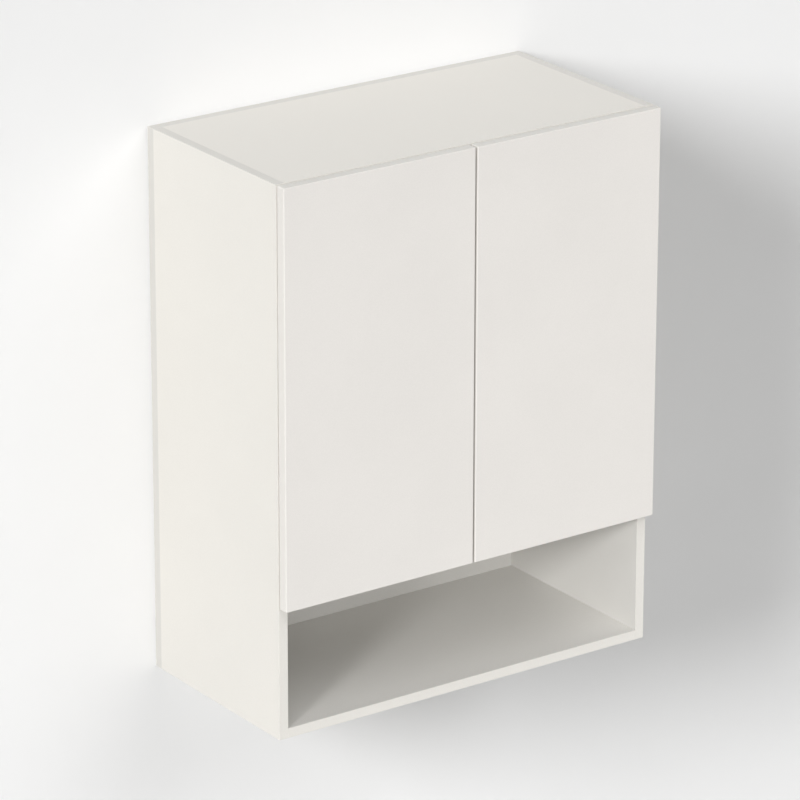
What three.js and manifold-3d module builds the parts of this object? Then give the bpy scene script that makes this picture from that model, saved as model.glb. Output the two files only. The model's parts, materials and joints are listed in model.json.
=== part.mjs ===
// Hanging wall cabinet with two flat doors over an open niche. Millimetres, +Z up.
// X runs across the front, -Y is the front and the wall is the plane Y = 0.
// The origin is the centre of the back panel's rear face.
import * as THREE from "three";
import { RoundedBoxGeometry } from "three/addons/geometries/RoundedBoxGeometry.js";
import { mergeVertices } from "three/addons/utils/BufferGeometryUtils.js";
import Module from "manifold-3d";

const wasm = await Module();
wasm.setup();

// ---- Driving dimensions -------------------------------------------------------------------
const WIDTH = 700;
const HEIGHT = 892;
const BOARD = 16; // sides, top, bottom, shelves and back
const DOOR_BOARD = 18;
const SIDE_DEPTH = 334;
const BAND = 1; // thickness of the front edge bands
const DOOR_GAP = 2; // between the carcass and the doors
const CENTRE_GAP = 3; // between the two doors
const DOOR_ROUND = 2;
const OVERCUT = 1; // how far a cutter runs past the face it opens
const NICHE_TOP = 217; // height of the doors' lower edges over the underside

const CARCASS_DEPTH = SIDE_DEPTH + BOARD;
const FRONT = -CARCASS_DEPTH; // Y of the carcass front
const TOP = HEIGHT / 2;
const UNDERSIDE = -HEIGHT / 2;
const INNER_WIDTH = WIDTH - 2 * BOARD;
const DOOR_BOTTOM = UNDERSIDE + NICHE_TOP;
const DOOR_HEIGHT = TOP - DOOR_BOTTOM;
const DOOR_WIDTH = (WIDTH - CENTRE_GAP) / 2;
const DOOR_MIDDLE = (TOP + DOOR_BOTTOM) / 2;
const DOOR_BACK = FRONT - DOOR_GAP; // Y of the doors' inner faces

// Drilled rows in the sides, at the usual 32 mm pitch, 37 mm in from the front and the rear.
const PITCH = 32;
const ROW_INSET = 37;
const FRONT_ROW = FRONT + ROW_INSET;
const REAR_ROW = -BOARD - ROW_INSET;
const ROW_HOLE_R = 2.5;
const ROW_HOLE_DEPTH = 11;
const HINGE_OFFSET = 7.5 * PITCH; // hinge height over and under the doors' middle
const ROW_START = DOOR_MIDDLE - 5 * PITCH;
const ROW_COUNT = 11;

// Adjustable shelves, counted in row holes from the lowest.
const SHELF_DEPTH = 310;
const SHELF_SETBACK = 20; // from the carcass front
const SHELF_PLAY = 2; // narrower than the inside of the carcass
const SHELF_HOLE = { lower_shelf: 1, upper_shelf: 8 };
const PIN_R = 2.25;
const PIN_COLLAR_R = 4;
const PIN_COLLAR_T = 0.8;
const PIN_REACH = 8;
const PIN_DEPTH = 9; // how far the peg goes into its hole
const SHELF_CLEARANCE = 0.1; // between a shelf and its pins

// Cam connectors let into the undersides of the panels between the sides, two at each end.
const CAM_R = 7.5;
const CAM_DEPTH = 12.5;
const CAM_END = 24; // from the panel's end to the cam's centre
const CAM_ROWS = [FRONT + 2 * PITCH, -BOARD - 2 * PITCH];

// Countersunk screws through the back panel into the edges of the sides and panels.
const SCREW_HOLE_R = 2.25;
const SCREW_HEAD_R = 4.3;
const SIDE_SCREW_PITCH = 250;
const PANEL_SCREW_X = 180;

// Concealed hinges. In a hinge's own frame x runs inwards from the outer face of the side, y runs
// into the cabinet from the carcass front, and z is up. Both links are shown closed.
const CUP_CENTRE = 22.5;
const CUP_R = 17.5;
const CUP_DEPTH = 11.5;
const OUTER_ARM_PIVOT = [34, -1.9];
const OUTER_CUP_PIVOT = [9.5, -8];
const INNER_ARM_PIVOT = [33, 2.6];
const INNER_CUP_PIVOT = [10.7, -3.7]; // the open pivot: it turns free inside the cup
const PIVOT_R = 1.2;
// Both links are bent, so that the rim of the cup passes over them as the door opens.
const OUTER_LINK_PATH = [OUTER_CUP_PIVOT, [14.5, -9.8], [21, -9.9], [28, -7.2], OUTER_ARM_PIVOT];
const INNER_LINK_PATH = [INNER_CUP_PIVOT, [15, -6.2], [21, -5.4], [27.5, 0], INNER_ARM_PIVOT];

// Push latches under the top panel, and bumpers at the free corners of the doors.
const LATCH_X = 60; // from the middle of the cabinet
const LATCH_DROP = 9; // from the top panel's underside to the barrel's axis
const LATCH_INSET = BAND + 1; // of the barrel's mouth, behind the carcass front
const LATCH_R = 5;
const LATCH_LENGTH = 62;
const LATCH_END = 4; // thickness of the barrel's closed end
const FOOT = { halfWidth: 9, height: 3, front: 10, rear: 52 };
const NECK = { halfWidth: 3, front: 14, rear: 48 };
const PLUNGER_R = 3.4;
const PLUNGER_PLAY = 0.3;
const PLUNGER_INSET = 0.2; // of its tip, behind the carcass front
const PLUNGER_LENGTH = 55;
const PLUNGER_CHAMFER = 0.6;
const STRIKE_R = 7;
const STRIKE_T = 1;
const BUMPER_R = 4;
const BUMPER_H = 1.8;
const BUMPER_X = 12; // from the door's free edge
const BUMPER_Z = 8; // from the door's upper and lower edges

// Keyhole hanging plates let into the rear of the back panel.
const HANGER_X = WIDTH / 2 - 75;
const HANGER_Z = TOP - 70;
const HANGER_T = 2;
const HANGER_SIZE = [34, 64];
const HANGER_ROUND = 4;
const HANGER_SCREW_Z = 24.5;
const HANGER_SCREW_R = 2.2;
const HANGER_PLAY = 0.3; // round and behind the plate in its recess
const KEYHOLE = { mouth: 5.5, slot: 2.6, rise: 13, drop: 6 };
const POCKET = { halfWidth: 8, halfHeight: 18, depth: 10 }; // room for the wall screw's head

// ---- Materials ----------------------------------------------------------------------------
function material(color, roughness, metalness) {
  return new THREE.MeshStandardMaterial({ color, roughness, metalness });
}
const MELAMINE = material(0xece9e1, 0.5, 0);
const LACQUER = material(0xebe8e1, 0.45, 0);
const EDGING = material(0xdedbd3, 0.55, 0);
const NICKEL = material(0xb9b9b6, 0.3, 1);
const STEEL = material(0xa5a6a6, 0.35, 1);
const PLASTIC = material(0xd9d8d4, 0.5, 0);
const SILICONE = material(0xe6e6e2, 0.4, 0);

// ---- Geometry helpers ---------------------------------------------------------------------
function toSolid(geometry) {
  const bare = geometry.clone();
  bare.deleteAttribute("normal");
  bare.deleteAttribute("uv");
  const merged = mergeVertices(bare, 1e-4);
  return new wasm.Manifold(
    new wasm.Mesh({
      numProp: 3,
      vertProperties: merged.attributes.position.array,
      triVerts: new Uint32Array(merged.index.array),
    }),
  );
}

function toGeometry(solid) {
  const mesh = solid.getMesh();
  const geometry = new THREE.BufferGeometry();
  geometry.setAttribute("position", new THREE.BufferAttribute(mesh.vertProperties, 3));
  geometry.setIndex(new THREE.BufferAttribute(mesh.triVerts, 1));
  geometry.computeVertexNormals();
  return geometry;
}

function joined(first, ...rest) {
  return toGeometry(rest.reduce((solid, next) => solid.add(toSolid(next)), toSolid(first)));
}

function cut(body, cutters) {
  return toGeometry(cutters.reduce((solid, next) => solid.subtract(toSolid(next)), toSolid(body)));
}

// A box given by its lowest and highest corners.
function boxOf(low, high) {
  const size = high.map((value, i) => value - low[i]);
  const middle = high.map((value, i) => (value + low[i]) / 2);
  return new THREE.BoxGeometry(...size).translate(...middle);
}

// A cylinder from one height to another along an axis, through a point of the other two axes.
function rod(axis, from, to, across, radius, sides = 20) {
  const geometry = new THREE.CylinderGeometry(radius, radius, to - from, sides);
  const middle = (from + to) / 2;
  if (axis === "x") {
    return geometry.rotateZ(Math.PI / 2).translate(middle, across[0], across[1]);
  }
  if (axis === "y") {
    return geometry.translate(across[0], middle, across[1]);
  }
  return geometry.rotateX(Math.PI / 2).translate(across[0], across[1], middle);
}

// A flat shape in the plane x, y with a thickness in z, centred on height z.
function plate(shape, thickness, z, curveSegments = 4) {
  const options = { depth: thickness, bevelEnabled: false, curveSegments };
  return new THREE.ExtrudeGeometry(shape, options).translate(0, 0, z - thickness / 2);
}

// The outline of a bent bar with round ends along a smooth line through some points.
function bentBarShape(points, radius) {
  const steps = 8;
  const capSteps = 5;
  const curve = new THREE.SplineCurve(points.map(([x, y]) => new THREE.Vector2(x, y)));
  const outline = [];
  const edge = (t, turn) => {
    const tangent = curve.getTangent(t);
    const angle = Math.atan2(tangent.y, tangent.x) + turn;
    const offset = new THREE.Vector2(Math.cos(angle), Math.sin(angle)).multiplyScalar(radius);
    outline.push(curve.getPoint(t).add(offset));
  };
  for (let i = 0; i <= steps; i++) {
    edge(i / steps, -Math.PI / 2);
  }
  for (let i = 1; i < capSteps; i++) {
    edge(1, -Math.PI / 2 + (i * Math.PI) / capSteps);
  }
  for (let i = steps; i >= 0; i--) {
    edge(i / steps, Math.PI / 2);
  }
  for (let i = 1; i < capSteps; i++) {
    edge(0, Math.PI / 2 + (i * Math.PI) / capSteps);
  }
  return new THREE.Shape(outline);
}

function roundedRectangle(width, height, radius) {
  const x = width / 2 - radius;
  const y = height / 2 - radius;
  const shape = new THREE.Shape();
  shape.absarc(x, y, radius, 0, Math.PI / 2, false);
  shape.absarc(-x, y, radius, Math.PI / 2, Math.PI, false);
  shape.absarc(-x, -y, radius, Math.PI, (3 * Math.PI) / 2, false);
  shape.absarc(x, -y, radius, (3 * Math.PI) / 2, 2 * Math.PI, false);
  return shape;
}

// ---- The object ---------------------------------------------------------------------------
const cabinet = new THREE.Group();

function add(name, geometry, finish, position = [0, 0, 0], parent = cabinet) {
  const mesh = new THREE.Mesh(geometry, finish);
  mesh.name = name;
  mesh.position.set(...position);
  parent.add(mesh);
  return mesh;
}

// Heights of the shelf holes; the hinges' screws use holes of the same row further out.
const rowHeights = Array.from({ length: ROW_COUNT }, (_, i) => ROW_START + i * PITCH);
const hingeHeights = {
  upper: DOOR_MIDDLE + HINGE_OFFSET,
  lower: DOOR_MIDDLE - HINGE_OFFSET,
};

function addSidePanel(name, side) {
  const depth = SIDE_DEPTH - BAND;
  const y = -BOARD - depth / 2;
  const x = side * (WIDTH / 2 - BOARD / 2);
  const innerFace = (-side * BOARD) / 2;
  const holeFrom = side < 0 ? innerFace - ROW_HOLE_DEPTH : innerFace - OVERCUT;
  const holeTo = holeFrom + ROW_HOLE_DEPTH + OVERCUT;
  const hole = (row, z) => rod("x", holeFrom, holeTo, [row - y, z], ROW_HOLE_R, 10);
  const holes = rowHeights.flatMap((z) => [hole(FRONT_ROW, z), hole(REAR_ROW, z)]);
  for (const middle of Object.values(hingeHeights)) {
    holes.push(hole(FRONT_ROW, middle - PITCH / 2), hole(FRONT_ROW, middle + PITCH / 2));
  }
  const body = new THREE.BoxGeometry(BOARD, depth, HEIGHT);
  add(name, cut(body, holes), MELAMINE, [x, y, 0]);
  const band = new THREE.BoxGeometry(BOARD, BAND, HEIGHT);
  add(name.replace("panel", "edge_band"), band, EDGING, [x, FRONT + BAND / 2, 0]);
}

// A panel between the sides, from the back panel to its own front edge band.
function addCrossPanel(name, bottom) {
  const depth = SIDE_DEPTH - BAND;
  const y = -BOARD - depth / 2;
  const z = bottom + BOARD / 2;
  const camX = INNER_WIDTH / 2 - CAM_END;
  const cams = [-camX, camX].flatMap((x) =>
    CAM_ROWS.map((row) => rod("z", -BOARD, CAM_DEPTH - BOARD / 2, [x, row - y], CAM_R, 14)),
  );
  const body = new THREE.BoxGeometry(INNER_WIDTH, depth, BOARD);
  add(name, cut(body, cams), MELAMINE, [0, y, z]);
  const band = new THREE.BoxGeometry(INNER_WIDTH, BAND, BOARD);
  add(name.replace("_panel", "") + "_edge_band", band, EDGING, [0, FRONT + BAND / 2, z]);
}

// The opening of a hanging plate: a round mouth with a slot over it.
function keyholeShape() {
  const { mouth, slot, rise } = KEYHOLE;
  const spread = Math.asin(slot / mouth);
  const shape = new THREE.Shape();
  shape.absarc(0, 0, mouth, Math.PI / 2 + spread, Math.PI / 2 - spread + 2 * Math.PI, false);
  shape.absarc(0, rise, slot, 0, Math.PI, false);
  return shape;
}

// A screw hole through a board that widens to the head's full radius at the rear face.
function countersunkHole(x, z) {
  const rear = BOARD / 2;
  const profile = [
    [0, -rear - OVERCUT],
    [SCREW_HOLE_R, -rear - OVERCUT],
    [SCREW_HOLE_R, rear - SCREW_HEAD_R + SCREW_HOLE_R],
    [SCREW_HEAD_R + OVERCUT, rear + OVERCUT],
    [0, rear + OVERCUT],
  ];
  const points = profile.map(([r, h]) => new THREE.Vector2(r, h));
  return new THREE.LatheGeometry(points, 12).translate(x, 0, z);
}

// The recess for a hanging plate, with the pocket behind the keyhole.
function hangerCutters(x) {
  const play = 2 * HANGER_PLAY;
  const depth = HANGER_T + HANGER_PLAY;
  const [width, height] = HANGER_SIZE;
  const outline = roundedRectangle(width + play, height + play, HANGER_ROUND + HANGER_PLAY);
  const recess = plate(outline, depth + OVERCUT, 0)
    .rotateX(Math.PI / 2)
    .translate(x, (BOARD - depth + OVERCUT) / 2, HANGER_Z);
  const { halfWidth, halfHeight, depth: pocketDepth } = POCKET;
  const pocket = boxOf(
    [x - halfWidth, BOARD / 2 - pocketDepth, HANGER_Z - halfHeight],
    [x + halfWidth, BOARD / 2 + OVERCUT, HANGER_Z + halfHeight],
  );
  return [recess, pocket];
}

function hangingPlateGeometry() {
  const blank = plate(roundedRectangle(...HANGER_SIZE, HANGER_ROUND), HANGER_T, 0);
  const keyhole = plate(keyholeShape(), 2 * HANGER_T, 0).translate(0, -KEYHOLE.drop, 0);
  const screws = [-HANGER_SCREW_Z, HANGER_SCREW_Z].map((z) =>
    rod("z", -HANGER_T, HANGER_T, [0, z], HANGER_SCREW_R, 12),
  );
  return cut(blank, [keyhole, ...screws]).rotateX(Math.PI / 2);
}

function addBackPanel() {
  const sideX = (WIDTH - BOARD) / 2;
  const panelHeights = [TOP, DOOR_BOTTOM + BOARD, UNDERSIDE + BOARD].map((z) => z - BOARD / 2);
  const holes = [];
  for (const side of [-1, 1]) {
    for (let i = -1.5; i <= 1.5; i++) {
      holes.push(countersunkHole(side * sideX, i * SIDE_SCREW_PITCH));
    }
    for (const z of panelHeights) {
      holes.push(countersunkHole(side * PANEL_SCREW_X, z));
    }
  }
  const cutters = [...holes, ...hangerCutters(-HANGER_X), ...hangerCutters(HANGER_X)];
  const body = new THREE.BoxGeometry(WIDTH, BOARD, HEIGHT);
  add("back_panel", cut(body, cutters), MELAMINE, [0, -BOARD / 2, 0]);
  for (const [name, side] of [["left", -1], ["right", 1]]) {
    const position = [side * HANGER_X, -HANGER_T / 2, HANGER_Z];
    add(name + "_hanging_plate", hangingPlateGeometry(), STEEL, position);
  }
}

// A shelf pin: a peg in the hole, a collar against the side and a short round support.
function shelfPinGeometry() {
  const chamfer = 0.5;
  const profile = [
    [0, -PIN_DEPTH],
    [PIN_R, -PIN_DEPTH],
    [PIN_R, 0],
    [PIN_COLLAR_R, 0],
    [PIN_COLLAR_R, PIN_COLLAR_T],
    [PIN_R, PIN_COLLAR_T],
    [PIN_R, PIN_REACH - chamfer],
    [PIN_R - chamfer, PIN_REACH],
    [0, PIN_REACH],
  ];
  const points = profile.map(([r, h]) => new THREE.Vector2(r, h));
  return new THREE.LatheGeometry(points, 12).rotateZ(-Math.PI / 2);
}

function addShelf(name, hole) {
  const support = rowHeights[hole];
  const width = INNER_WIDTH - SHELF_PLAY;
  const front = FRONT + SHELF_SETBACK;
  const z = support + PIN_R + SHELF_CLEARANCE + BOARD / 2;
  const depth = SHELF_DEPTH - BAND;
  const body = new THREE.BoxGeometry(width, depth, BOARD);
  add(name, body, MELAMINE, [0, front + BAND + depth / 2, z]);
  const band = new THREE.BoxGeometry(width, BAND, BOARD);
  add(name + "_edge_band", band, EDGING, [0, front + BAND / 2, z]);
  for (const [sideName, side] of [["left", -1], ["right", 1]]) {
    for (const [rowName, y] of [["front", FRONT_ROW], ["rear", REAR_ROW]]) {
      const pin = shelfPinGeometry();
      if (side > 0) {
        pin.rotateZ(Math.PI);
      }
      const position = [side * (INNER_WIDTH / 2), y, support];
      add(`${name}_pin_${rowName}_${sideName}`, pin, NICKEL, position);
    }
  }
}

// ---- Hinges -------------------------------------------------------------------------------
const INNER_FACE = BOARD; // of the side, in the hinge's frame
const NOSE_HALF = 2.2; // half the height of the arm's nose
const CHEEK_T = 1.1;
const CHEEK_PLAY = 0.3;
const INNER_CHEEK = NOSE_HALF + CHEEK_PLAY + CHEEK_T / 2;
const OUTER_CHEEK = INNER_CHEEK + CHEEK_PLAY + CHEEK_T;
const CHEEK_R = 1.75;
const PIVOT_PLAY = 0.15;
const PIVOT_HEAD = 0.9; // what shows of a pivot pin beyond the cheek it carries
const CUP_PIN_REACH = 9.4; // the outer links' pins run into the wall of the cup

// The mounting plate, as a wing with two screw holes, a long tongue and a raised rail.
const PLATE_T = 2;
const WING = [12, 2 * PITCH - 10, 4]; // width, height and corner radius
const TONGUE = [44, 13, 3];
const TONGUE_SHIFT = -1;
const RAIL = { rear: -20, front: 19, halfHeight: 5.2, top: 7.7 };
const PLATE_SCREW_R = 2.8;

// The arm, as a channel over the rail. Its nose carries the two pivots in front of the channel.
const ARM_FRONT = 15; // behind the carcass front
const ARM_REAR = ROW_INSET + 24;
const ARM_HALF = 7.6;
const ARM_WEB_T = 1.8;
const ARM_FLANGE_T = 1.6;
const ARM_FACE = INNER_FACE + 9.8;
const ARM_FOOT = INNER_FACE + 3; // where the flanges end over the plate
const NOSE_OVERLAP = 8;
const NOSE_STEP = 3;
const NOSE_RISE = 4;
const OUTER_BOSS_R = 2.3;
const INNER_BOSS_R = 3;

// The cup, as a thin bowl in the door's bore with a flange for two screws.
const CUP_PLAY = 0.3;
const CUP_FLOOR_PLAY = 0.4;
const CUP_WALL = 1.2;
const CUP_FLOOR = 1;
const CUP_RIM = 0.8; // the flange lies on the door's inner face
const FLANGE = [22, 62, 8];
const FLANGE_SHIFT = 6;
const FLANGE_SCREW = [7, 26, 2.1]; // inwards of the cup's centre, over and under it, and radius
const NOTCH = { half: 6.2, depth: 5, reach: 9.5 };

function hingePlateGeometry() {
  const wings = plate(roundedRectangle(...WING), PLATE_T, PLATE_T / 2);
  const tongue = plate(roundedRectangle(...TONGUE), PLATE_T, PLATE_T / 2);
  tongue.translate(TONGUE_SHIFT, 0, 0);
  const rail = boxOf(
    [RAIL.rear, -RAIL.halfHeight, PLATE_T],
    [RAIL.front, RAIL.halfHeight, RAIL.top],
  );
  const screws = [-PITCH / 2, PITCH / 2].map((y) =>
    rod("z", -OVERCUT, PLATE_T + OVERCUT, [0, y], PLATE_SCREW_R, 14),
  );
  const whole = cut(joined(wings, tongue, rail), screws);
  // Built lying flat, then stood against the side: x to depth, y to height, z inwards.
  return whole
    .rotateX(Math.PI / 2)
    .rotateZ(Math.PI / 2)
    .translate(INNER_FACE, ROW_INSET, 0);
}

function hingeArmGeometry() {
  const web = boxOf([ARM_FACE - ARM_WEB_T, ARM_FRONT, -ARM_HALF], [ARM_FACE, ARM_REAR, ARM_HALF]);
  const flanges = [-ARM_HALF, ARM_HALF - ARM_FLANGE_T].map((z) =>
    boxOf([ARM_FOOT, ARM_FRONT, z], [ARM_FACE, ARM_REAR, z + ARM_FLANGE_T]),
  );
  const [outerX, outerY] = OUTER_ARM_PIVOT;
  const noseRear = ARM_FRONT + NOSE_OVERLAP;
  const noseShape = new THREE.Shape();
  noseShape.moveTo(ARM_FACE - ARM_WEB_T, noseRear);
  noseShape.lineTo(ARM_FACE - ARM_WEB_T, ARM_FRONT - NOSE_STEP);
  noseShape.lineTo(outerX - 1.5 * OUTER_BOSS_R, outerY + OUTER_BOSS_R / 2);
  noseShape.absarc(outerX, outerY, OUTER_BOSS_R, Math.PI, 2 * Math.PI, false);
  noseShape.absarc(...INNER_ARM_PIVOT, INNER_BOSS_R, 0, Math.PI / 4, false);
  noseShape.lineTo(ARM_FACE + NOSE_RISE, noseRear);
  const nose = plate(noseShape, 2 * NOSE_HALF, 0);
  const pin = (at, cheek) => rod("z", -cheek - PIVOT_HEAD, cheek + PIVOT_HEAD, at, PIVOT_R, 14);
  const innerPin = pin(INNER_ARM_PIVOT, INNER_CHEEK);
  const outerPin = pin(OUTER_ARM_PIVOT, OUTER_CHEEK);
  return joined(web, ...flanges, nose, innerPin, outerPin);
}

// Two bent cheeks with a bore at the arm's pivot, held together by the pin of the cup's pivot.
function linkGeometry(path, cheek, pinReach) {
  const bar = bentBarShape(path, CHEEK_R);
  const pin = rod("z", -pinReach, pinReach, path[0], PIVOT_R, 14);
  const whole = joined(plate(bar, CHEEK_T, cheek), plate(bar, CHEEK_T, -cheek), pin);
  const reach = cheek + CHEEK_T;
  return cut(whole, [rod("z", -reach, reach, path.at(-1), PIVOT_R + PIVOT_PLAY, 14)]);
}

function hingeCupGeometry() {
  const outerR = CUP_R - CUP_PLAY;
  const innerR = outerR - CUP_WALL;
  const depth = CUP_DEPTH - CUP_FLOOR_PLAY;
  const outline = [
    [0, -depth],
    [outerR, -depth],
    [outerR, CUP_RIM],
    [innerR, CUP_RIM],
    [innerR, CUP_FLOOR - depth],
    [0, CUP_FLOOR - depth],
  ];
  const points = outline.map(([r, h]) => new THREE.Vector2(r, h));
  const bowl = new THREE.LatheGeometry(points, 28);
  const ears = plate(roundedRectangle(...FLANGE), CUP_RIM, CUP_RIM / 2)
    .translate(FLANGE_SHIFT, 0, 0)
    .rotateX(-Math.PI / 2);
  const top = CUP_RIM + OVERCUT;
  const mouth = rod("y", -OVERCUT, top, [0, 0], (innerR + outerR) / 2, 28);
  const [screwX, screwZ, screwR] = FLANGE_SCREW;
  const screws = [-screwZ, screwZ].map((z) => rod("y", -OVERCUT, top, [screwX, z], screwR, 12));
  const flange = cut(ears, [mouth, ...screws]);
  // To the hinge's frame: the cup's mouth faces into the cabinet.
  const cup = joined(bowl, flange).translate(CUP_CENTRE, -DOOR_GAP, 0);
  // The rim is notched beside the pivots, so that the links fold over it.
  const notch = boxOf([0, -DOOR_GAP - NOTCH.depth, -NOTCH.half], [NOTCH.reach, OVERCUT, NOTCH.half]);
  const pinBore = rod("z", -CUP_R, CUP_R, OUTER_CUP_PIVOT, PIVOT_R + PIVOT_PLAY, 14);
  return cut(cup, [notch, pinBore]);
}

function addHinge(name, z, side) {
  const hinge = new THREE.Group();
  hinge.position.set((side * WIDTH) / 2, FRONT, z);
  hinge.scale.x = -side;
  cabinet.add(hinge);
  const at = [0, 0, 0];
  const outerLink = linkGeometry(OUTER_LINK_PATH, OUTER_CHEEK, CUP_PIN_REACH);
  const innerLink = linkGeometry(INNER_LINK_PATH, INNER_CHEEK, INNER_CHEEK);
  add(name + "_hinge_plate", hingePlateGeometry(), STEEL, at, hinge);
  add(name + "_hinge_arm", hingeArmGeometry(), NICKEL, at, hinge);
  add(name + "_hinge_outer_link", outerLink, STEEL, at, hinge);
  add(name + "_hinge_inner_link", innerLink, STEEL, at, hinge);
  add(name + "_hinge_cup", hingeCupGeometry(), NICKEL, at, hinge);
}

// ---- Doors --------------------------------------------------------------------------------
// A low round pad with a softened edge.
function bumperGeometry() {
  const profile = [
    [0, 0],
    [BUMPER_R, 0],
    [BUMPER_R * 0.85, BUMPER_H * 0.7],
    [BUMPER_R * 0.5, BUMPER_H],
    [0, BUMPER_H],
  ];
  return new THREE.LatheGeometry(profile.map(([r, h]) => new THREE.Vector2(r, h)), 16);
}

function addDoor(name, side) {
  const x = side * (WIDTH / 2 - DOOR_WIDTH / 2);
  const y = DOOR_BACK - DOOR_BOARD / 2;
  const inside = DOOR_BOARD / 2;
  const blank = new RoundedBoxGeometry(DOOR_WIDTH, DOOR_BOARD, DOOR_HEIGHT, 3, DOOR_ROUND);
  const cupX = side * (DOOR_WIDTH / 2 - CUP_CENTRE);
  const bores = [-HINGE_OFFSET, HINGE_OFFSET].map((z) =>
    rod("y", inside - CUP_DEPTH, inside + OVERCUT, [cupX, z], CUP_R, 28),
  );
  add(name + "_door", cut(blank, bores), LACQUER, [x, y, DOOR_MIDDLE]);
  const bumperX = side * (CENTRE_GAP / 2 + BUMPER_X);
  const heights = { upper: TOP - BUMPER_Z, lower: DOOR_BOTTOM + BUMPER_Z };
  for (const [level, z] of Object.entries(heights)) {
    add(`${name}_door_${level}_bumper`, bumperGeometry(), SILICONE, [bumperX, DOOR_BACK, z]);
  }
}

// A push latch: a barrel on a foot under the top panel, a plunger, and a plate on the door.
function addPushLatch(name, side) {
  const x = side * LATCH_X;
  const ceiling = TOP - BOARD;
  const barrelZ = ceiling - LATCH_DROP;
  const nose = FRONT + LATCH_INSET;
  const rear = nose + LATCH_LENGTH;
  const barrel = rod("y", nose, rear, [0, barrelZ], LATCH_R, 20);
  const foot = boxOf(
    [-FOOT.halfWidth, FRONT + FOOT.front, ceiling - FOOT.height],
    [FOOT.halfWidth, FRONT + FOOT.rear, ceiling],
  );
  const neck = boxOf(
    [-NECK.halfWidth, FRONT + NECK.front, barrelZ],
    [NECK.halfWidth, FRONT + NECK.rear, ceiling - FOOT.height / 2],
  );
  const boreR = PLUNGER_R + PLUNGER_PLAY;
  const bore = rod("y", nose - OVERCUT, rear - LATCH_END, [0, barrelZ], boreR, 20);
  const housing = cut(joined(barrel, foot, neck), [bore]);
  add(name + "_latch_housing", housing, PLASTIC, [x, 0, 0]);
  const profile = [
    [0, 0],
    [PLUNGER_R - PLUNGER_CHAMFER, 0],
    [PLUNGER_R, PLUNGER_CHAMFER],
    [PLUNGER_R, PLUNGER_LENGTH],
    [0, PLUNGER_LENGTH],
  ];
  const points = profile.map(([r, h]) => new THREE.Vector2(r, h));
  const plunger = new THREE.LatheGeometry(points, 20);
  add(name + "_latch_plunger", plunger, PLASTIC, [x, FRONT + PLUNGER_INSET, barrelZ]);
  const strike = new THREE.CylinderGeometry(STRIKE_R, STRIKE_R, STRIKE_T, 24);
  add(name + "_strike_plate", strike, STEEL, [x, DOOR_BACK + STRIKE_T / 2, barrelZ]);
}

addBackPanel();
addSidePanel("left_side_panel", -1);
addSidePanel("right_side_panel", 1);
addCrossPanel("top_panel", TOP - BOARD);
addCrossPanel("fixed_shelf", DOOR_BOTTOM);
addCrossPanel("bottom_panel", UNDERSIDE);
for (const [name, hole] of Object.entries(SHELF_HOLE)) {
  addShelf(name, hole);
}
for (const [name, side] of [["left", -1], ["right", 1]]) {
  addDoor(name, side);
  addHinge(name + "_upper", hingeHeights.upper, side);
  addHinge(name + "_lower", hingeHeights.lower, side);
  addPushLatch(name, side);
}

export default cabinet;
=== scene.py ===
"""Looks of the hanging wall cabinet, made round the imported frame. Metres, +Z up, the doors face -Y."""

import json
import math

import bmesh
import bpy
from mathutils import Matrix, Vector


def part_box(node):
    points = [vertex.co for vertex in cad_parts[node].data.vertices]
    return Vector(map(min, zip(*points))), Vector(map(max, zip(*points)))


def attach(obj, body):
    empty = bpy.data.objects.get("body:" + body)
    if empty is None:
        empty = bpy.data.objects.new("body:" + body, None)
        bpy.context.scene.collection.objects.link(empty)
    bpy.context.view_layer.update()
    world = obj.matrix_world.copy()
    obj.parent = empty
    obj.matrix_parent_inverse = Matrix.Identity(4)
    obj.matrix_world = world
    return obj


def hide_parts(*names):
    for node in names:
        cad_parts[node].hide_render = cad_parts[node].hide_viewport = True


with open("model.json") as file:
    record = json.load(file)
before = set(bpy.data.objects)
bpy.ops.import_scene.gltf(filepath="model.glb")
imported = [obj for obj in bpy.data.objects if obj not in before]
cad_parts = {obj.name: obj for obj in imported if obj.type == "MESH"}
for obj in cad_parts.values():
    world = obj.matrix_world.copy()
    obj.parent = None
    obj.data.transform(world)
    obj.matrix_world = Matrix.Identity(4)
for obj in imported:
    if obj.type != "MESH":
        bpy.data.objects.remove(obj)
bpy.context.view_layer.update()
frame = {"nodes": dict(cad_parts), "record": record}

MM = 0.001
SIDES = {"left": -1, "right": 1}
LEVELS = ("upper", "lower")
NODES = frame["nodes"]

# ---- Colours, linear --------------------------------------------------------------------------
MELAMINE = (0.765, 0.743, 0.697)
# Painted shade: a cooler copy of the melamine for the carcass's inner faces, standing in for the cooler
# shade inside the cabinet.
MELAMINE_INSIDE_SHADE_TINT = (0.762, 0.748, 0.717)
# Painted shade: a darker copy of the board colour for narrow faces, standing in for the shade on them and
# at the wall.
NARROW_FACE_SHADE = (0.665, 0.650, 0.614)
# Painted shade: a darker copy of the door foil, painted on the doors' end faces.
DOOR_ENDS_SHADE = (0.745, 0.722, 0.684)
EDGING = (0.822, 0.800, 0.754)
DOOR_FOIL = (0.855, 0.826, 0.791)
NICKEL = (0.67, 0.665, 0.65)
ZINC = (0.56, 0.57, 0.585)
PLASTIC = (0.70, 0.695, 0.665)
CAP_PLASTIC = (0.80, 0.785, 0.745)
SILICONE = (0.78, 0.78, 0.76)
WALL_PAINT = (0.93, 0.93, 0.93)
FLOOR_PAINT = (0.68, 0.68, 0.67)
SKY = (1.0, 0.998, 0.99)

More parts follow.
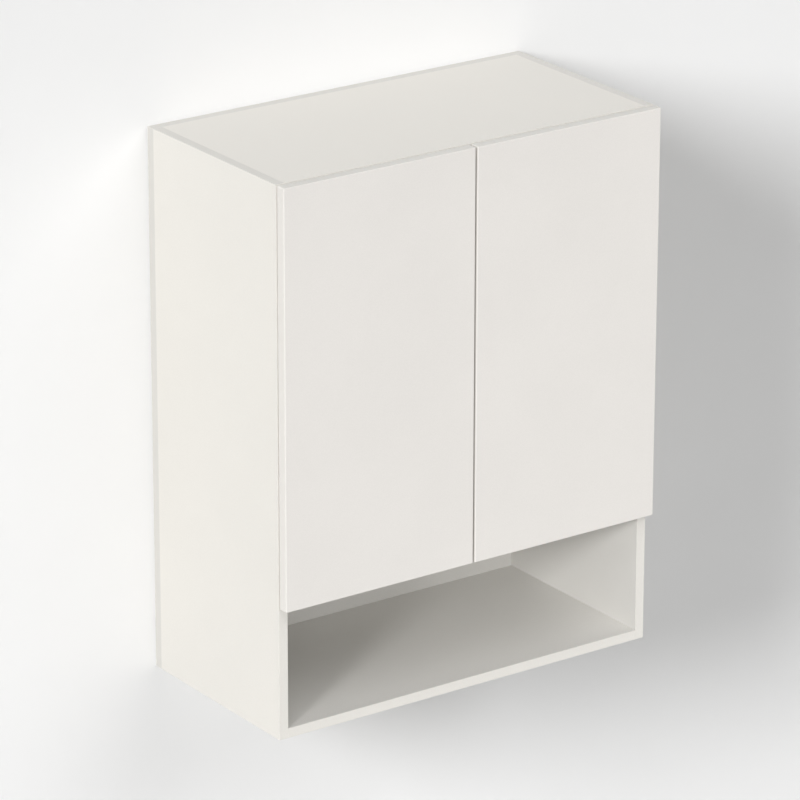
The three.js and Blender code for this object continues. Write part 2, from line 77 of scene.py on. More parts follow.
# ---- Lamps: azimuth, elevation and spread in degrees, then strength ---------------------------
SKY_STRENGTH = 0.22
CABINET_LAMPS = {
    "soft_key": (20, 10, 40, 0.89),
    "crisp_key": (58, 18, 10, 1.32),
    "right_fill": (-96, 6, 20, 0.9),
    "top_fill": (20, 55, 40, 0.88),
}
WALL_LAMPS = {
    "wall_wash": (69, 23, 24, 4.1),
    "wall_fill": (-25, 42, 40, 0.82),
}
REAR_LAMPS = {"rear_fill": (200, 20, 40, 1.3)}

# ---- Sizes of the stage, and of the CAD's parts that the pieces here fit ----------------------
WALL_GAP = 3 * MM
STAGE_REACH = 7.0
FLOOR_DROP = 2.4

BOARD = 16 * MM
BAND = 1 * MM
PITCH = 32 * MM
PANELS = ("top_panel", "fixed_shelf", "bottom_panel")
DOOR_ROUND = 2 * MM
CUP_CENTRE = 22.5 * MM  # in from the door's hinged edge
CUP_RADIUS = 17.5 * MM
CUP_DEPTH = 11.5 * MM
CUP_RIM = 0.8 * MM
CUP_SCREW_X = 7 * MM  # further in than the cup's centre
CUP_SCREW_Z = 26 * MM
PLATE_FACE = 18 * MM  # in from the side panel's outer face
PLATE_INSET = 37 * MM  # behind the carcass front
PLATE_SCREW_Z = PITCH / 2
ARM_FACE = 25.8 * MM  # in from the side panel's outer face
ARM_SCREW_INSETS = (30 * MM, 52 * MM)
LATCH_FOOT = 3 * MM
LATCH_SCREWS = ((6.3 * MM, 16 * MM), (-6.3 * MM, 46 * MM))  # sideways, and behind the front
SIDE_SCREW_PITCH = 250 * MM
PANEL_SCREW_X = 180 * MM
REAR_SCREW_SINK = 0.35 * MM
HANGER_SCREW_Z = 24.5 * MM
CAM_END = 24 * MM  # in from the panel's end
CAM_SINK = 0.2 * MM

# Head radius and height of the pan screws, head radius of the flat ones.
PLATE_SCREW = (3.6 * MM, 1.9 * MM)
ARM_SCREW = (3.3 * MM, 1.6 * MM)
CUP_SCREW = (3.1 * MM, 1.5 * MM)
LATCH_SCREW = (1.9 * MM, 1.1 * MM)
BACK_SCREW = 4.2 * MM
HANGER_SCREW = 2.15 * MM
CAM = (7.35 * MM, 11 * MM)  # radius and depth
CAM_CAP = (8.6 * MM, 1.3 * MM)  # radius and thickness

SHARP_ANGLE = 35  # degrees; edges that turn by more stay sharp


def middle_of(name):
    """The middle of a node's box."""
    low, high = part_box(name)
    return (low + high) / 2


# ---- Camera, lights and stage -----------------------------------------------------------------
def make_camera():
    """A long lens from the front left and a little above, turned slightly about its own axis."""
    yaw, pitch, roll = math.radians(35.18), math.radians(20.52), math.radians(0.11)
    place = (-4.3327, -6.3171, 2.7940)
    sensor_width, focal_length, view_end = 36, 231.35, 60
    data = bpy.data.cameras.new("camera")
    data.sensor_width = sensor_width
    data.lens = focal_length
    data.clip_end = view_end
    camera = bpy.data.objects.new("camera", data)
    camera.location = place
    turn = Matrix.Rotation(-yaw, 3, "Z") @ Matrix.Rotation(math.pi / 2 - pitch, 3, "X")
    camera.rotation_euler = (turn @ Matrix.Rotation(roll, 3, "Z")).to_euler()
    bpy.context.scene.collection.objects.link(camera)
    bpy.context.scene.camera = camera


def sun(name, azimuth, elevation, spread, strength):
    """A soft distant lamp. Azimuth 0 shines straight at the doors and 90 comes from the left."""
    data = bpy.data.lights.new(name, "SUN")
    data.angle = math.radians(spread)
    data.energy = strength
    lamp = bpy.data.objects.new(name, data)
    around, up = math.radians(azimuth), math.radians(elevation)
    aim = Vector((-math.sin(around) * math.cos(up), -math.cos(around) * math.cos(up), math.sin(up)))
    lamp.rotation_euler = aim.to_track_quat("Z", "Y").to_euler()
    bpy.context.scene.collection.objects.link(lamp)
    return lamp


def light_only(lamp, pieces, state):
    """Links a lamp to some pieces alone ("INCLUDE"), or to everything but them ("EXCLUDE")."""
    lit = bpy.data.collections.new("lit_by_" + lamp.name)
    for piece in pieces:
        lit.objects.link(piece)
    lamp.light_linking.receiver_collection = lit
    for member in lit.collection_objects:
        member.light_linking.link_state = state


def make_light(wall):
    """An even sky and four lamps for the cabinet, two lamps for the wall alone that throw the
    cabinet's soft shadow, and one lamp for the cabinet's rear."""
    world = bpy.data.worlds.new("studio")
    world.use_nodes = True
    background = world.node_tree.nodes["Background"]
    background.inputs["Color"].default_value = (*SKY, 1)
    background.inputs["Strength"].default_value = SKY_STRENGTH
    bpy.context.scene.world = world
    bpy.context.scene.view_settings.view_transform = "Standard"
    rear = [NODES[name] for name in ("back_panel", "left_hanging_plate", "right_hanging_plate")]
    groups = (
        (CABINET_LAMPS, [wall], "EXCLUDE"),
        (WALL_LAMPS, [wall], "INCLUDE"),
        (REAR_LAMPS, rear, "INCLUDE"),
    )
    for lamps, pieces, state in groups:
        for name, settings in lamps.items():
            light_only(sun(name, *settings), pieces, state)


def stage_material(name, colour, one_sided):
    """Matt paint, faintly cloudy. A one-sided surface is clear when it is seen from behind."""
    material, tree, shader = principled(name, colour, roughness=0.9)
    noise = add(tree, "ShaderNodeTexNoise", Scale=6.0, Detail=3.0)
    tree.links.new(object_coords(tree), noise.inputs["Vector"])
    tint = ramp(tree, noise.outputs["Fac"], scaled(colour, 0.995), scaled(colour, 1.005))
    tree.links.new(tint, shader.inputs["Base Color"])
    if one_sided:
        mix = tree.nodes.new("ShaderNodeMixShader")
        clear = tree.nodes.new("ShaderNodeBsdfTransparent")
        facing = tree.nodes.new("ShaderNodeNewGeometry")
        output = tree.nodes["Material Output"]
        tree.links.new(facing.outputs["Backfacing"], mix.inputs["Fac"])
        tree.links.new(shader.outputs[0], mix.inputs[1])
        tree.links.new(clear.outputs[0], mix.inputs[2])
        tree.links.new(mix.outputs[0], output.inputs["Surface"])
    return material


def make_stage():
    """A wall plane with an opening just inside the cabinet's outline, and a floor far below it."""
    low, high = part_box("back_panel")
    inset, reach, drop = 4 * MM, STAGE_REACH, FLOOR_DROP
    inner = (low.x + inset, low.z + inset, high.x - inset, high.z - inset)
    outer = (-reach, -drop, reach, reach)
    mesh = bpy.data.meshes.new("wall")
    corners = []
    for x0, z0, x1, z1 in (outer, inner):
        corners += [(x0, WALL_GAP, z0), (x1, WALL_GAP, z0), (x1, WALL_GAP, z1), (x0, WALL_GAP, z1)]
    faces = [(i, (i + 1) % 4, (i + 1) % 4 + 4, i + 4) for i in range(4)]
    mesh.from_pydata(corners, [], faces)
    mesh.materials.append(stage_material("wall_paint", WALL_PAINT, True))
    wall = link("wall", mesh)
    mesh = bpy.data.meshes.new("floor")
    corners = [(x * reach, y * reach, -drop) for x, y in ((-1, -1), (1, -1), (1, 1), (-1, 1))]
    mesh.from_pydata(corners, [], [(0, 1, 2, 3)])
    mesh.materials.append(stage_material("floor_paint", FLOOR_PAINT, False))
    floor = link("floor", mesh)
    return wall


# ---- Node helpers -----------------------------------------------------------------------------
def scaled(colour, factor):
    """A colour made lighter or darker, and never brighter than 1."""
    return tuple(min(1.0, c * factor) for c in colour)


def add(tree, kind, **values):
    """A new node with its inputs set by name."""
    node = tree.nodes.new(kind)
    for name, value in values.items():
        node.inputs[name].default_value = value
    return node


def principled(name, colour, roughness, metallic=0.0):
    """A new material, its node tree and its shader."""
    material = bpy.data.materials.new(name)
    material.use_nodes = True
    tree = material.node_tree
    shader = tree.nodes["Principled BSDF"]
    shader.inputs["Base Color"].default_value = (*colour, 1)
    shader.inputs["Roughness"].default_value = roughness
    shader.inputs["Metallic"].default_value = metallic
    return material, tree, shader


def object_coords(tree, stretch=None):
    """The piece's own coordinates, scaled on each axis if stretch is given."""
    coords = tree.nodes.new("ShaderNodeTexCoord")
    if stretch is None:
        return coords.outputs["Object"]
    mapping = add(tree, "ShaderNodeMapping", Scale=stretch)
    tree.links.new(coords.outputs["Object"], mapping.inputs["Vector"])
    return mapping.outputs["Vector"]


def ramp(tree, value, low, high):
    """A noise value turned into a colour between two others."""
    node = tree.nodes.new("ShaderNodeValToRGB")
    for element, position, colour in zip(node.color_ramp.elements, (0.3, 0.7), (low, high)):
        element.position = position
        element.color = (*colour, 1)
    tree.links.new(value, node.inputs["Fac"])
    return node.outputs["Color"]


def mix_colour(tree, factor, first, second, blend="MIX"):
    """A blend of two colours. Each input is a socket or a plain value."""
    node = tree.nodes.new("ShaderNodeMix")
    node.data_type = "RGBA"
    node.blend_type = blend
    sockets = (node.inputs["Factor"], node.inputs[6], node.inputs[7])
    for socket, value in zip(sockets, (factor, first, second)):
        if isinstance(value, bpy.types.NodeSocket):
            tree.links.new(value, socket)
        else:
            socket.default_value = value if isinstance(value, float) else (*value, 1)
    return node.outputs[2]


def math_node(tree, operation, first, second=None):
    """One sum on one or two inputs, each a socket or a plain number."""
    node = tree.nodes.new("ShaderNodeMath")
    node.operation = operation
    for socket, value in zip(node.inputs, (first, second)):
        if isinstance(value, bpy.types.NodeSocket):
            tree.links.new(value, socket)
        elif value is not None:
            socket.default_value = value
    return node.outputs[0]


def map_range(tree, value, source, target):
    """A value carried smoothly from one range to another."""
    node = tree.nodes.new("ShaderNodeMapRange")
    node.interpolation_type = "SMOOTHSTEP"
    tree.links.new(value, node.inputs["Value"])
    for name, number in zip(("From Min", "From Max", "To Min", "To Max"), (*source, *target)):
        node.inputs[name].default_value = number
    return node.outputs["Result"]


def bump(tree, shader, height, distance, strength):
    """Small relief on a shader's surface, of the given full height."""
    node = add(tree, "ShaderNodeBump", Strength=strength, Distance=distance)
    tree.links.new(height, node.inputs["Height"])
    tree.links.new(node.outputs["Normal"], shader.inputs["Normal"])


def edge_distance(tree, low, high):
    """Distance along the surface of a box-shaped piece to its nearest edge: the middle one of the
    three distances to the box's faces."""
    centre, half = (low + high) / 2, (high - low) / 2
    place = tree.nodes.new("ShaderNodeVectorMath")
    place.operation = "SUBTRACT"
    tree.links.new(object_coords(tree), place.inputs[0])
    place.inputs[1].default_value = centre
    size = tree.nodes.new("ShaderNodeVectorMath")
    size.operation = "ABSOLUTE"
    tree.links.new(place.outputs[0], size.inputs[0])
    split = tree.nodes.new("ShaderNodeSeparateXYZ")
    tree.links.new(size.outputs[0], split.inputs[0])
    x, y, z = (math_node(tree, "SUBTRACT", half[i], split.outputs[i]) for i in range(3))
    least = math_node(tree, "MINIMUM", x, y)
    most = math_node(tree, "MAXIMUM", x, y)
    return math_node(tree, "MAXIMUM", least, math_node(tree, "MINIMUM", most, z))


def face_mask(tree, axes):
    """1 on faces whose own normal lies along one of the axes, from "x", "y" and "z"."""
    coords = tree.nodes.new("ShaderNodeTexCoord")
    split = tree.nodes.new("ShaderNodeSeparateXYZ")
    tree.links.new(coords.outputs["Normal"], split.inputs[0])
    total = None
    for axis in axes:
        size = math_node(tree, "ABSOLUTE", split.outputs["xyz".index(axis)])
        total = size if total is None else math_node(tree, "MAXIMUM", total, size)
    return map_range(tree, total, (0.6, 0.8), (0.0, 1.0))


# ---- Materials --------------------------------------------------------------------------------
def board_material(name, node, colour, shaded_faces="", roughness=0.42, grain=0.9, outer_side=0,
                   ends=None):
    """Melamine or foil on a board: faint mottling, a fine pearl texture, painted shade as a darker colour
    on the faces across the axes given after the colour, and slight rubbing along the edges. With
    outer_side -1 or 1, the face on that side of X has the warmer outside tone, and the other faces keep
    the given colour, for the carcass a cooler copy painted as shade. The faces across X take the colour
    ends, a darker copy painted as shade, if it is given."""
    material, tree, shader = principled(name, colour, roughness)
    low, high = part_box(node)
    coords = object_coords(tree)
    cloud = add(tree, "ShaderNodeTexNoise", Scale=5.0, Detail=4.0, Roughness=0.6)
    pearl = add(tree, "ShaderNodeTexNoise", Scale=850.0, Detail=2.0, Roughness=0.5)
    speck = add(tree, "ShaderNodeTexVoronoi", Scale=420.0)
    patchy = add(tree, "ShaderNodeTexNoise", Scale=38.0, Detail=3.0)
    for texture in (cloud, pearl, speck, patchy):
        tree.links.new(coords, texture.inputs["Vector"])
    base = colour
    # Painted shade: only the outer face takes the plain melamine, and the other faces keep the given
    # colour, which for the side panels is the cooler copy standing in for shade inside.
    if outer_side:
        split = tree.nodes.new("ShaderNodeSeparateXYZ")
        tree.links.new(coords, split.inputs[0])
        from_middle = math_node(tree, "SUBTRACT", split.outputs["X"], (low.x + high.x) / 2)
        outer = math_node(tree, "MULTIPLY", from_middle, outer_side)
        base = mix_colour(tree, math_node(tree, "GREATER_THAN", outer, 0.0), colour, MELAMINE)
    mottle = map_range(tree, cloud.outputs["Fac"], (0.3, 0.7), (0.988, 1.008))
    fine = map_range(tree, pearl.outputs["Fac"], (0.35, 0.65), (0.985, 1.01))
    tone = mix_colour(tree, 1.0, base, math_node(tree, "MULTIPLY", mottle, fine), "MULTIPLY")
    # Painted shade: the faces across the given axes take the darker narrow-face colour.
    if shaded_faces:
        tone = mix_colour(tree, face_mask(tree, shaded_faces), tone, NARROW_FACE_SHADE)
    # Painted shade: the faces across X take the darker copy given as ends.
    if ends:
        tone = mix_colour(tree, face_mask(tree, "x"), tone, ends)
    distance = edge_distance(tree, low, high)
    rubbed = map_range(tree, distance, (0.2 * MM, 2.2 * MM), (1.0, 0.0))
    patch = map_range(tree, patchy.outputs["Fac"], (0.42, 0.66), (0.15, 1.0))
    wear = math_node(tree, "MULTIPLY", rubbed, patch)
    tone = mix_colour(tree, math_node(tree, "MULTIPLY", wear, 0.6), tone, scaled(colour, 0.93))
    tree.links.new(tone, shader.inputs["Base Color"])
    rough = map_range(tree, cloud.outputs["Fac"], (0.3, 0.7), (roughness - 0.05, roughness + 0.06))
    rough = math_node(tree, "SUBTRACT", rough, math_node(tree, "MULTIPLY", wear, 0.1))
    tree.links.new(rough, shader.inputs["Roughness"])
    height = math_node(tree, "ADD", pearl.outputs["Fac"], speck.outputs["Distance"])
    bump(tree, shader, height, 0.04 * MM * grain, 0.35)
    return material


def edging_material(name, node):
    """Plastic edge band: smoother and a little greyer than the board."""
    return board_material(name, node, EDGING, roughness=0.38, grain=0.5)


def metal_material(name, colour, roughness, stretch, scratches):
    """Plated or pressed steel: cloudy plating, fine drawn lines and duller rubbed high spots."""
    material, tree, shader = principled(name, colour, roughness, 1.0)
    cloud = add(tree, "ShaderNodeTexNoise", Scale=160.0, Detail=4.0, Roughness=0.6)
    tree.links.new(object_coords(tree), cloud.inputs["Vector"])
    lines = add(tree, "ShaderNodeTexNoise", Scale=900.0, Detail=3.0, Roughness=0.7)
    tree.links.new(object_coords(tree, stretch), lines.inputs["Vector"])
    tone = ramp(tree, cloud.outputs["Fac"], scaled(colour, 0.86), scaled(colour, 1.1))
    high_spots = tree.nodes.new("ShaderNodeNewGeometry")
    edge = map_range(tree, high_spots.outputs["Pointiness"], (0.5, 0.6), (0.0, 0.7))
    tone = mix_colour(tree, edge, tone, scaled(colour, 1.25))
    tree.links.new(tone, shader.inputs["Base Color"])
    spread = (roughness - scratches / 2, roughness + scratches)
    rough = map_range(tree, lines.outputs["Fac"], (0.3, 0.7), spread)
    tree.links.new(rough, shader.inputs["Roughness"])
    bump(tree, shader, lines.outputs["Fac"], 0.03 * MM, 0.4)
    return material


def plastic_material(name, colour, roughness, subsurface=0.0):
    """Moulded plastic: spark-eroded grain, faint flow marks and lighter rubbed edges."""
    material, tree, shader = principled(name, colour, roughness)
    shader.inputs["Subsurface Weight"].default_value = subsurface
    shader.inputs["Subsurface Radius"].default_value = (2 * MM, 2 * MM, 2 * MM)
    grain = add(tree, "ShaderNodeTexNoise", Scale=1500.0, Detail=2.0)
    flow = add(tree, "ShaderNodeTexNoise", Scale=60.0, Detail=2.0)
    for texture in (grain, flow):
        tree.links.new(object_coords(tree), texture.inputs["Vector"])
    tone = ramp(tree, flow.outputs["Fac"], scaled(colour, 0.95), scaled(colour, 1.03))
    high_spots = tree.nodes.new("ShaderNodeNewGeometry")
    edge = map_range(tree, high_spots.outputs["Pointiness"], (0.52, 0.62), (0.0, 0.5))
    tone = mix_colour(tree, edge, tone, scaled(colour, 1.08))
    tree.links.new(tone, shader.inputs["Base Color"])
    rough = map_range(tree, flow.outputs["Fac"], (0.3, 0.7), (roughness - 0.06, roughness + 0.08))
    tree.links.new(rough, shader.inputs["Roughness"])
    bump(tree, shader, grain.outputs["Fac"], 0.03 * MM, 0.4)
    return material


# ---- Mesh helpers -----------------------------------------------------------------------------
def link(name, mesh):
    """A new object in the scene, made from a mesh."""
    piece = bpy.data.objects.new(name, mesh)
    bpy.context.scene.collection.objects.link(piece)
    return piece


def object_of(name, shape):
    """Turns a bmesh into an object."""
    mesh = bpy.data.meshes.new(name)
    shape.to_mesh(mesh)
    shape.free()
    return link(name, mesh)


def bmesh_of(piece):
    """Takes an object's mesh into a bmesh and removes the object."""
    shape = bmesh.new()
    shape.from_mesh(piece.data)
    bpy.data.objects.remove(piece)
    return shape


def dress(piece, material):
    """Gives a piece or a carried-over CAD node one material."""
    piece.data.materials.clear()
    piece.data.materials.append(material)


def smooth_by_angle():
    """A node group that smooths a mesh except along its sharp edges."""
    tree = bpy.data.node_groups.new("smooth_by_angle", "GeometryNodeTree")
    tree.interface.new_socket("Geometry", in_out="INPUT", socket_type="NodeSocketGeometry")
    tree.interface.new_socket("Geometry", in_out="OUTPUT", socket_type="NodeSocketGeometry")
    entry = tree.nodes.new("NodeGroupInput")
    leave = tree.nodes.new("NodeGroupOutput")
    faces = tree.nodes.new("GeometryNodeSetShadeSmooth")
    edges = tree.nodes.new("GeometryNodeSetShadeSmooth")
    edges.domain = "EDGE"
    edges.inputs["Shade Smooth"].default_value = False
    angle = tree.nodes.new("GeometryNodeInputMeshEdgeAngle")
    sharp = tree.nodes.new("FunctionNodeCompare")
    sharp.operation = "GREATER_THAN"
    sharp.inputs["B"].default_value = math.radians(SHARP_ANGLE)
    tree.links.new(angle.outputs["Unsigned Angle"], sharp.inputs["A"])
    tree.links.new(sharp.outputs["Result"], edges.inputs["Selection"])
    tree.links.new(entry.outputs["Geometry"], faces.inputs["Geometry"])
    tree.links.new(faces.outputs["Geometry"], edges.inputs["Geometry"])
    tree.links.new(edges.outputs["Geometry"], leave.inputs["Geometry"])
    return tree


SMOOTHING = smooth_by_angle()


def soften(piece, width):
    """Small real roundings and smooth round faces on a CAD node, by modifiers that leave its own
    mesh alone."""
    weld = piece.modifiers.new("weld", "WELD")
    weld.merge_threshold = 0.01 * MM
    smoothing = piece.modifiers.new("smoothing", "NODES")
    smoothing.node_group = SMOOTHING
    rounding = piece.modifiers.new("rounding", "BEVEL")
    rounding.width = width
    rounding.segments = 2
    rounding.limit_method = "ANGLE"
    rounding.angle_limit = math.radians(SHARP_ANGLE)
    rounding.harden_normals = True


def rounded_box(low, high, radius, segments):
    """A bmesh box with every edge rounded."""
    shape = bmesh.new()
    bmesh.ops.create_cube(shape, size=1)
    bmesh.ops.scale(shape, vec=high - low, verts=shape.verts)
    bmesh.ops.translate(shape, vec=(low + high) / 2, verts=shape.verts)
    bmesh.ops.bevel(shape, geom=list(shape.edges), offset=radius, segments=segments, profile=0.5,
                    affect="EDGES")
    return shape


def drill(piece, cutters):
    """Cuts bores out of a piece with boolean modifiers, which are applied."""
    for cutter in cutters:
        modifier = piece.modifiers.new("bore", "BOOLEAN")
        modifier.operation = "DIFFERENCE"
        modifier.solver = "EXACT"
        modifier.object = cutter
    bpy.context.view_layer.update()
    solid = piece.evaluated_get(bpy.context.evaluated_depsgraph_get())
    finished = bpy.data.meshes.new_from_object(solid)
    piece.modifiers.clear()
    piece.data = finished
    for cutter in cutters:
        bpy.data.objects.remove(cutter)


def cylinder(start, end, radius):
    """A closed cylinder from one point to another, to cut a bore with."""
    shape = bmesh.new()
    axis = Vector(end) - Vector(start)
    turn = axis.to_track_quat("Z", "Y").to_matrix().to_4x4()
    middle = Matrix.Translation((Vector(start) + Vector(end)) / 2)
    bmesh.ops.create_cone(shape, cap_ends=True, segments=64, radius1=radius, radius2=radius,
                          depth=axis.length, matrix=middle @ turn)
    return object_of("bore", shape)


def lathe(profile, sides):
    """A bmesh turned about Z from (radius, height) points; the first and last lie on the axis."""
    shape = bmesh.new()
    circle = [(math.cos(2 * math.pi * i / sides), math.sin(2 * math.pi * i / sides)) for i in range(sides)]
    rings = []
    for radius, height in profile:
        points = [(radius * x, radius * y, height) for x, y in circle] if radius else [(0, 0, height)]
        rings.append([shape.verts.new(point) for point in points])
    for lower, upper in zip(rings, rings[1:]):
        for i in range(sides):
            j = (i + 1) % sides
            around = [ring[k % len(ring)] for ring, k in ((lower, i), (lower, j), (upper, j), (upper, i))]
            corners = list(dict.fromkeys(around))
            if len(corners) > 2:
                shape.faces.new(corners)
    bmesh.ops.recalc_face_normals(shape, faces=shape.faces)
    return shape


def smooth(mesh, angle=SHARP_ANGLE):
    """Smooth shading, except along edges that turn by more than the angle, in degrees."""
    mesh.shade_smooth()
    mesh.set_sharp_from_angle(angle=math.radians(angle))


def finish_piece(name, shape, material, body, places):
    """Makes one piece out of copies of a bmesh, one at each of the places, and rides it on a body."""
    base = bpy.data.meshes.new(name)
    shape.to_mesh(base)
    shape.free()
    joined = bmesh.new()
    for place in places:
        copy = base.copy()
        copy.transform(place)
        joined.from_mesh(copy)
        bpy.data.meshes.remove(copy)
    joined.to_mesh(base)
    joined.free()
    smooth(base)
    piece = link(name, base)
    dress(piece, material)
    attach(piece, body)
    return piece


def facing(point, direction, turn=0.0):
    """A matrix that stands a piece made along +Z on a point, looking along a direction."""
    aim = Vector(direction).to_track_quat("Z", "Y").to_matrix().to_4x4()
    return Matrix.Translation(Vector(point)) @ aim @ Matrix.Rotation(turn, 4, "Z")


# ---- Fasteners --------------------------------------------------------------------------------
def bar(length, width, height, turn, middle_height):
    """A box across the axis Z, turned about it, to cut a recess with."""
    shape = bmesh.new()
    bmesh.ops.create_cube(shape, size=1)
    bmesh.ops.scale(shape, vec=(length, width, height), verts=shape.verts)
    bmesh.ops.rotate(shape, matrix=Matrix.Rotation(turn, 3, "Z"), verts=shape.verts)
    bmesh.ops.translate(shape, vec=(0, 0, middle_height), verts=shape.verts)
    return object_of("cutter", shape)


def cross_recess(head, radius, top, depth):
    """Cuts a cross into a head. It is turned a little, so that it lines up with none of the facets."""
    length, width, turn = 1.15 * radius, 0.22 * radius, 0.11
    cutters = [bar(length, width, 2 * depth, angle, top) for angle in (turn, turn + math.pi / 2)]
    drill(head, cutters)
    return bmesh_of(head)


def pan_screw(radius, height):
    """A cross-recessed pan head along +Z, with its seat at height 0 and a short shank under it."""
    r, h = radius, height
    shank = [(0, -0.5 * h), (0.5 * r, -0.5 * h), (0.5 * r, 0)]
    rim = [(0.96 * r, 0), (r, 0.12 * h), (r, 0.35 * h)]
    crown = [(0.93 * r, 0.66 * h), (0.74 * r, 0.88 * h), (0.42 * r, h), (0, h)]
    return cross_recess(object_of("head", lathe(shank + rim + crown, 24)), r, h, 0.6 * h)


def flat_screw(radius):
    """A cross-recessed countersunk head along +Z, with its flat top at height 0."""
    r = radius
    shank = [(0, -1.5 * r), (0.5 * r, -1.5 * r), (0.5 * r, -0.6 * r)]
    head = [(r, -0.08 * r), (0.96 * r, 0), (0, 0)]
    return cross_recess(object_of("head", lathe(shank + head, 24)), r, 0, 0.4 * r)


def cam_disc(radius, depth):
    """A cam connector seen from its face: a stepped disc with a rim, a cross and a raised pointer."""
    r, face = radius, -0.09 * radius
    barrel = [(0, -depth), (0.96 * r, -depth), (0.96 * r, -0.1 * r)]
    rim = [(r, -0.06 * r), (r, 0), (0.86 * r, 0), (0.82 * r, face), (0, face)]
    disc = cross_recess(object_of("head", lathe(barrel + rim, 40)), 0.62 * r, face, 0.25 * r)
    tip = [disc.verts.new((x * r, y * r, z * r)) for z in (-0.1, -0.01)
           for x, y in ((0.52, 0.1), (0.52, -0.1), (0.74, 0))]
    lower, upper = tip[:3], tip[3:]
    disc.faces.new(upper)
    disc.faces.new(reversed(lower))
    for i in range(3):
        disc.faces.new((lower[i], lower[(i + 1) % 3], upper[(i + 1) % 3], upper[i]))
    bmesh.ops.recalc_face_normals(disc, faces=disc.faces)
    return disc


def cover_cap(radius, thickness):
    """A thin domed cap with a rounded rim."""
    r, t = radius, thickness
    return lathe([(0, 0), (0.96 * r, 0), (r, 0.3 * t), (0.985 * r, 0.6 * t), (0.94 * r, 0.82 * t),
                  (0.8 * r, 0.95 * t), (0.4 * r, t), (0, t)], 40)


def pan_screws(name, size, finishes, slot, body, places):
    """A row of pan screws, each turned a little further than the one before."""
    first, further = 0.7, 0.9
    turned = [place @ Matrix.Rotation(first + further * i, 4, "Z") for i, place in enumerate(places)]
    finish_piece(name, pan_screw(*size), finishes[slot], body, turned)


def hinge_screws(side, sign, finishes):
    """Two screws in each mounting plate's wings, two in the arm's web and two in the cup's flange."""
    inward, rearward = (-sign, 0, 0), (0, 1, 0)
    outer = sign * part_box("right_side_panel")[1].x
    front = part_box(side + "_side_edge_band")[0].y
    plate_x = outer - sign * PLATE_FACE
    arm_x = outer - sign * ARM_FACE
    cup_x = outer - sign * (CUP_CENTRE + CUP_SCREW_X)
    cup_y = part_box(side + "_door")[1].y + CUP_RIM
    plates, arms, cups = [], [], []
    for level in LEVELS:
        height = middle_of(f"{side}_{level}_hinge_cup").z
        for step in (-PLATE_SCREW_Z, PLATE_SCREW_Z):
            plates.append(facing((plate_x, front + PLATE_INSET, height + step), inward))
        for inset in ARM_SCREW_INSETS:
            arms.append(facing((arm_x, front + inset, height), inward))
        for step in (-CUP_SCREW_Z, CUP_SCREW_Z):
            cups.append(facing((cup_x, cup_y, height + step), rearward))
    pan_screws(side + "_hinge_plate_screws", PLATE_SCREW, finishes, "zinc_steel", "carcass", plates)
    pan_screws(side + "_hinge_arm_screws", ARM_SCREW, finishes, "nickel_plate", "carcass", arms)
    pan_screws(side + "_hinge_cup_screws", CUP_SCREW, finishes, "nickel_plate", side + "_door", cups)


def latch_screws(side, finishes):
    """Two small screws through the foot of a latch, one on each side of its neck."""
    middle = middle_of(side + "_latch_housing").x
    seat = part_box(side + "_latch_housing")[1].z - LATCH_FOOT
    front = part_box("top_edge_band")[0].y
    places = [facing((middle + shift, front + inset, seat), (0, 0, -1)) for shift, inset in LATCH_SCREWS]
    pan_screws(side + "_latch_screws", LATCH_SCREW, finishes, "zinc_steel", "carcass", places)


def rear_screws(finish):
    """Countersunk screws through the back panel, and the two in each hanging plate."""
    rearward, further, hanger_turn = (0, 1, 0), 2.1, 24.5
    side_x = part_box("back_panel")[1].x - BOARD / 2
    spots = []
    for sign in SIDES.values():
        spots += [(sign * side_x, step * SIDE_SCREW_PITCH) for step in (-1.5, -0.5, 0.5, 1.5)]
        spots += [(sign * PANEL_SCREW_X, middle_of(panel).z) for panel in PANELS]
    places = [facing((x, -REAR_SCREW_SINK, z), rearward, further * i) for i, (x, z) in enumerate(spots)]
    finish_piece("back_panel_screws", flat_screw(BACK_SCREW), finish, "carcass", places)
    for side in SIDES:
        middle = middle_of(side + "_hanging_plate")
        places = []
        for way in (-1, 1):
            spot = (middle.x, -REAR_SCREW_SINK, middle.z + way * HANGER_SCREW_Z)
            places.append(facing(spot, rearward, way * hanger_turn))
        finish_piece(side + "_hanging_plate_screws", flat_screw(HANGER_SCREW), finish,
                     "carcass", places)


def cam_connectors(finish, cap):
    """Open cams in the top panel's underside, where they can be reached, and caps over the rest."""
    for panel in PANELS:
        low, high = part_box(panel)
        rows = (low.y - BAND + 2 * PITCH, high.y - 2 * PITCH)
        places = []
        for sign in SIDES.values():
            for row in rows:
                turn = sign + 40 * row  # in radians, so that no two cams point the same way
                places.append(facing((sign * (high.x - CAM_END), row, low.z), (0, 0, -1), turn))
        if panel == "top_panel":
            sunk = [Matrix.Translation((0, 0, CAM_SINK)) @ place for place in places]
            finish_piece(panel + "_cams", cam_disc(*CAM), finish, "carcass", sunk)
        else:
            finish_piece(panel + "_cam_caps", cover_cap(*CAM_CAP), cap, "carcass",
                         places)


def make_fasteners(finishes):
    """The screws, cams and caps that the CAD leaves out."""
    for side, sign in SIDES.items():
        hinge_screws(side, sign, finishes)
        latch_screws(side, finishes)
    rear_screws(finishes["zinc_steel"])
    cam_connectors(finishes["zinc_steel"], plastic_material("cap_plastic", CAP_PLASTIC, 0.38))


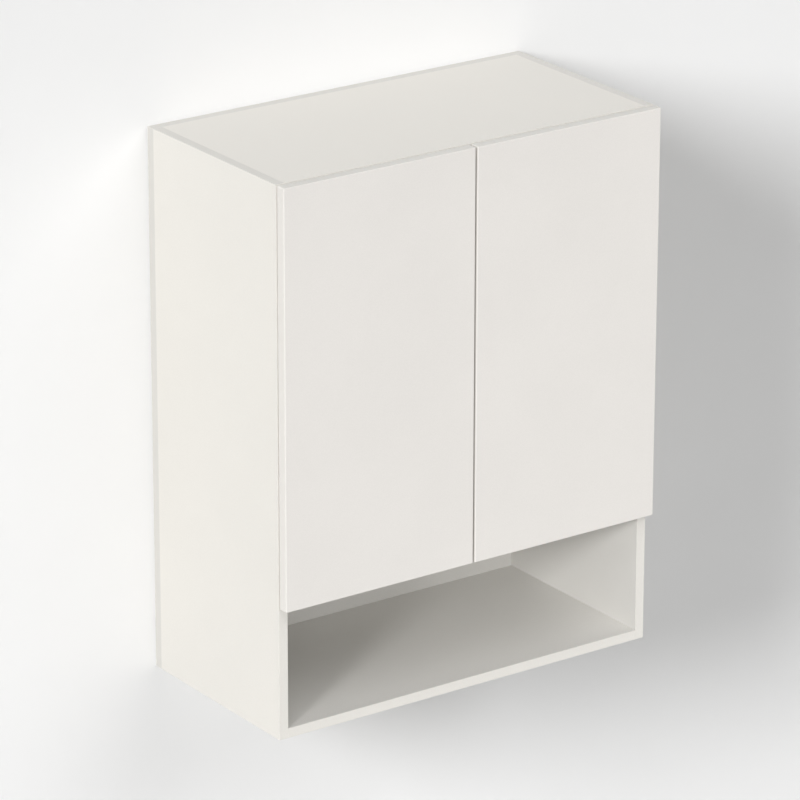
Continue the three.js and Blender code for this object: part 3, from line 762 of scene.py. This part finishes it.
# ---- Boards -----------------------------------------------------------------------------------
def make_boards():
    """Each board's colour, the faces painted darker as shade, and which X face is outside."""
    # The inside colour is painted shade, a cooler copy of the melamine.
    looks = {
        "left_side_panel": (MELAMINE_INSIDE_SHADE_TINT, "z", -1),
        "right_side_panel": (MELAMINE_INSIDE_SHADE_TINT, "z", 1),
        "back_panel": (MELAMINE_INSIDE_SHADE_TINT, "xz", 0),
        "top_panel": (MELAMINE, "", 0),
        "fixed_shelf": (MELAMINE_INSIDE_SHADE_TINT, "", 0),
        "bottom_panel": (MELAMINE_INSIDE_SHADE_TINT, "", 0),
        "lower_shelf": (MELAMINE_INSIDE_SHADE_TINT, "", 0),
        "upper_shelf": (MELAMINE_INSIDE_SHADE_TINT, "", 0),
    }
    for name, (colour, shaded_faces, outer_side) in looks.items():
        soften(NODES[name], 0.25 * MM)
        material = board_material(name + "_melamine", name, colour, shaded_faces, outer_side=outer_side)
        dress(NODES[name], material)
    for name in [n for n in NODES if n.endswith("edge_band")]:
        soften(NODES[name], 0.3 * MM)
        dress(NODES[name], edging_material(name + "_plastic", name))


def make_doors():
    """Doors with finer rounded edges and round cup bores, in place of the faceted CAD ones."""
    for side, sign in SIDES.items():
        low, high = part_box(side + "_door")
        door = object_of(side + "_door_board", rounded_box(low, high, DOOR_ROUND, 6))
        hinged_edge = low.x if side == "left" else high.x
        x, floor, past = hinged_edge - sign * CUP_CENTRE, high.y - CUP_DEPTH, high.y + 5 * MM
        cutters = []
        for level in LEVELS:
            z = middle_of(f"{side}_{level}_hinge_cup").z
            cutters.append(cylinder((x, floor, z), (x, past, z), CUP_RADIUS))
        drill(door, cutters)
        smooth(door.data, 50)
        normals = door.modifiers.new("normals", "WEIGHTED_NORMAL")
        normals.keep_sharp = True
        # Painted shade: the door's top and bottom faces and its end faces take darker copies of the foil.
        foil = board_material(side + "_door_foil", side + "_door", DOOR_FOIL, "z", 0.4,
                              ends=DOOR_ENDS_SHADE)
        dress(door, foil)
        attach(door, side + "_door")
        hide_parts(side + "_door")


# ---- Hinges, latches and small parts ----------------------------------------------------------
def make_hardware():
    """Dresses every small CAD node by its slot, and gives back the finishes by slot."""
    finishes = {
        "nickel_plate": metal_material("nickel", NICKEL, 0.31, stretch=(1, 1, 6), scratches=0.15),
        "zinc_steel": metal_material("zinc", ZINC, 0.36, stretch=(6, 1, 1), scratches=0.2),
        "latch_plastic": plastic_material("latch_plastic", PLASTIC, 0.42),
        "bumper": plastic_material("silicone", SILICONE, 0.3, subsurface=0.3),
    }
    for row in frame["record"]["subparts"]:
        slot = row["material_slot"]
        if slot in finishes:
            soften(NODES[row["node"]], 0.15 * MM)
            dress(NODES[row["node"]], finishes[slot])
    return finishes


make_camera()
make_light(make_stage())
make_boards()
make_doors()
make_fasteners(make_hardware())
